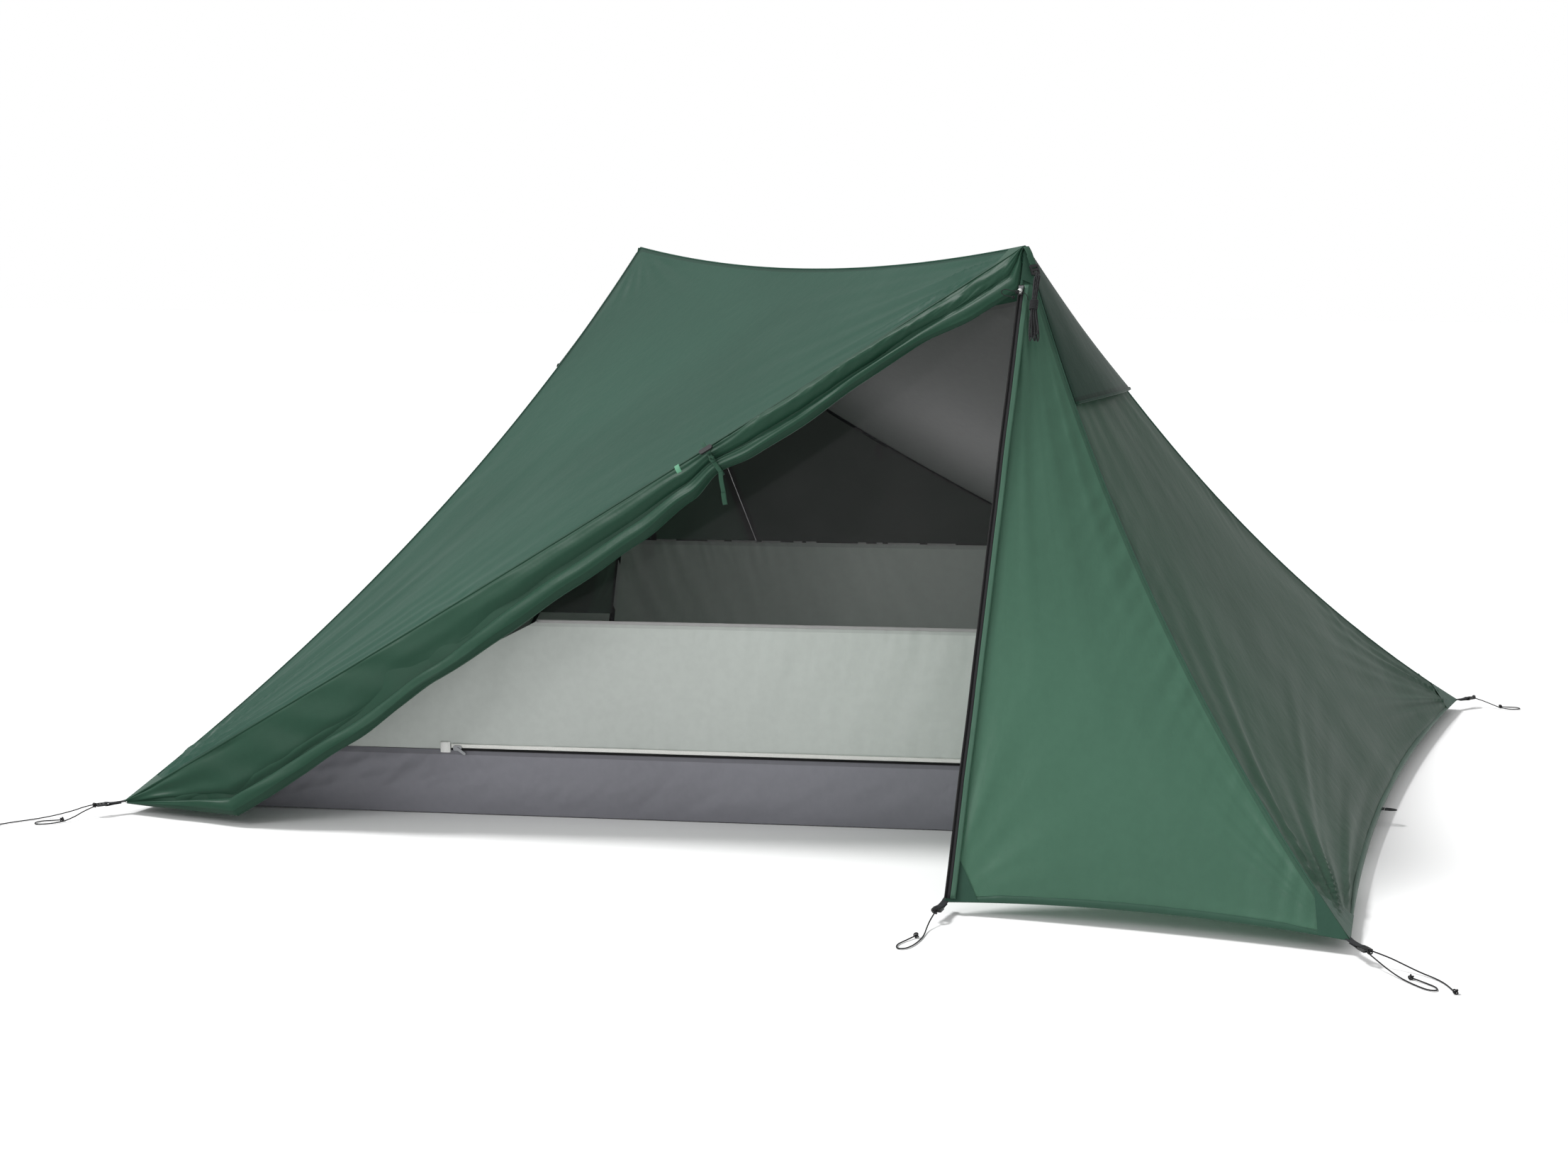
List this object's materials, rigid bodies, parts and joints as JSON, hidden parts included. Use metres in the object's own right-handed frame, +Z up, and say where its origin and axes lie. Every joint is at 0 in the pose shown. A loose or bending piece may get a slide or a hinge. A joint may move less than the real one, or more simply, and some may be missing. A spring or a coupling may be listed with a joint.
{
  "type": "trekking pole tent",
  "caption": "Double-wall two-person tent pitched on two offset trekking poles, with one side door rolled back, mesh inner tent, peak vents and corner stake loops.",
  "frame": {"origin": "on the ground at the centre of the fly's footprint", "axes": "+X along the long side, the open door is on the -Y side, +Z up"},
  "size_m": [2.9209, 2.4333, 1.188],
  "materials": {
    "fly_fabric": "coated ripstop, slight sheen",
    "door_fabric": "coated ripstop, inside face",
    "inner_fabric": "light grey breathable fabric",
    "mesh": "fine black netting",
    "tub_fabric": "coated dark grey fabric",
    "zip_dark": "coil zip on woven tape",
    "zip_light": "pale zip cover",
    "webbing": "woven webbing",
    "black_plastic": "moulded nylon",
    "white_plastic": "moulded bead",
    "cord": "braided cord",
    "guy_cord": "braided cord with a pale fleck",
    "pole_alloy": "anodised tube",
    "pole_dark": "dark anodised tube",
    "grip_foam": "foam grip"
  },
  "bodies": {
    "tent": {"fly_roof_front": "fly_fabric", "fly_roof_back": "fly_fabric", "fly_end_right": "fly_fabric", "fly_end_left": "fly_fabric", "fly_fixed_front": "fly_fabric", "fly_fixed_back": "fly_fabric", "fly_door_front": "door_fabric", "fly_zip_front": "zip_dark", "fly_zip_back": "zip_dark", "inner_zip_front": "zip_dark", "inner_zip_back": "zip_dark", "hem_adjusters": "black_plastic", "peak_guy_adjusters": "black_plastic", "door_tie_toggle": "black_plastic", "hem_tabs": "webbing", "peak_guy_tabs": "webbing", "door_tie_loop": "webbing", "door_tie_strap": "webbing", "peak_guy_hank": "guy_cord", "inner_roof_front": "inner_fabric", "inner_roof_back": "inner_fabric", "inner_end_right": "inner_fabric", "inner_end_left": "inner_fabric", "inner_skirt_front": "inner_fabric", "inner_skirt_back": "inner_fabric", "inner_mesh_front": "mesh", "inner_mesh_back": "mesh", "inner_floor": "tub_fabric", "inner_tub_front": "tub_fabric", "inner_tub_back": "tub_fabric", "inner_tub_ends": "tub_fabric", "inner_zip_stops": "zip_light", "inner_peak_straps": "zip_dark", "inner_corner_straps": "zip_dark", "pole_front_tip": "pole_alloy", "pole_back_tip": "pole_alloy", "cord_a_loop": "cord", "cord_a_tail": "cord", "cord_c_loop": "cord", "cord_c_tail": "cord", "cord_d_loop": "cord", "cord_b_loop": "cord"},
    "fly_slider_front": {"fly_slider_front": "black_plastic", "pull_cord": "cord"},
    "fly_slider_back": {"fly_slider_back": "black_plastic"},
    "inner_slider_front": {"inner_slider_front": "black_plastic"},
    "inner_slider_back": {"inner_slider_back": "black_plastic"},
    "back_door": {"fly_door_back": "fly_fabric"},
    "vent_hood_right": {"vent_hood_right": "fly_fabric"},
    "vent_hood_left": {"vent_hood_left": "fly_fabric"},
    "vent_strut_right": {"vent_strut_right": "black_plastic"},
    "vent_strut_left": {"vent_strut_left": "black_plastic"},
    "front_pole_lower": {"pole_front_shaft": "pole_dark", "pole_front_grip": "grip_foam", "pole_front_clamp": "black_plastic"},
    "back_pole_lower": {"pole_back_shaft": "pole_dark", "pole_back_grip": "grip_foam", "pole_back_clamp": "black_plastic"},
    "front_pole_lever": {"pole_front_lever": "black_plastic"},
    "back_pole_lever": {"pole_back_lever": "black_plastic"}
  },
  "joints": [
    {"name": "fly_zip_front", "type": "slide", "parent": "tent", "child": "fly_slider_front", "axis": [0.0148, -0.4189, -0.9079], "range_m": [0, 1.15]},
    {"name": "fly_zip_back", "type": "slide", "parent": "tent", "child": "fly_slider_back", "axis": [-0.1463, -0.4615, 0.875], "range_m": [0, 1.2]},
    {"name": "inner_zip_front", "type": "slide", "parent": "tent", "child": "inner_slider_front", "axis": [0.9713, 0.238, 0], "range_m": [0, 1.24]},
    {"name": "inner_zip_back", "type": "slide", "parent": "tent", "child": "inner_slider_back", "axis": [-0.9713, -0.238, 0], "range_m": [0, 1.24]},
    {"name": "back_door", "type": "hinge", "parent": "tent", "child": "back_door", "pos_m": [-0.763, 0.461, 1.188], "axis": [0.8428, 0.2415, -0.481], "range_deg": [0, 120]},
    {"name": "vent_right", "type": "hinge", "parent": "tent", "child": "vent_hood_right", "pos_m": [0.57396, -0.52273, 1.15708], "axis": [0, -1, 0], "range_deg": [-4, 0]},
    {"name": "vent_left", "type": "hinge", "parent": "tent", "child": "vent_hood_left", "pos_m": [-0.78283, 0.44782, 1.15613], "axis": [0, 1, 0], "range_deg": [-4, 0]},
    {"name": "vent_strut_right", "type": "hinge", "parent": "tent", "child": "vent_strut_right", "pos_m": [0.67566, -0.41523, 0.91051], "axis": [0, 1, 0], "range_deg": [0, 70]},
    {"name": "vent_strut_left", "type": "hinge", "parent": "tent", "child": "vent_strut_left", "pos_m": [-0.84498, 0.35623, 0.91386], "axis": [0, -1, 0], "range_deg": [0, 70]},
    {"name": "front_pole_height", "type": "slide", "parent": "tent", "child": "front_pole_lower", "axis": [-0.006, 0.0155, 0.9999], "range_m": [0, 0.21]},
    {"name": "back_pole_height", "type": "slide", "parent": "tent", "child": "back_pole_lower", "axis": [0.006, -0.0335, 0.9994], "range_m": [0, 0.21]},
    {"name": "front_pole_clamp", "type": "hinge", "parent": "front_pole_lower", "child": "front_pole_lever", "pos_m": [0.57636, -0.54839, 0.62109], "axis": [0.006, -0.0155, -0.9999], "range_deg": [0, 90]},
    {"name": "back_pole_clamp", "type": "hinge", "parent": "back_pole_lower", "child": "back_pole_lever", "pos_m": [-0.74216, 0.47719, 0.62043], "axis": [-0.006, 0.0335, -0.9994], "range_deg": [0, 90]}
  ],
  "couplings": [
    {"joint": "vent_right", "follows": "vent_strut_right", "ratio": -0.057143},
    {"joint": "vent_left", "follows": "vent_strut_left", "ratio": -0.057143}
  ]
}
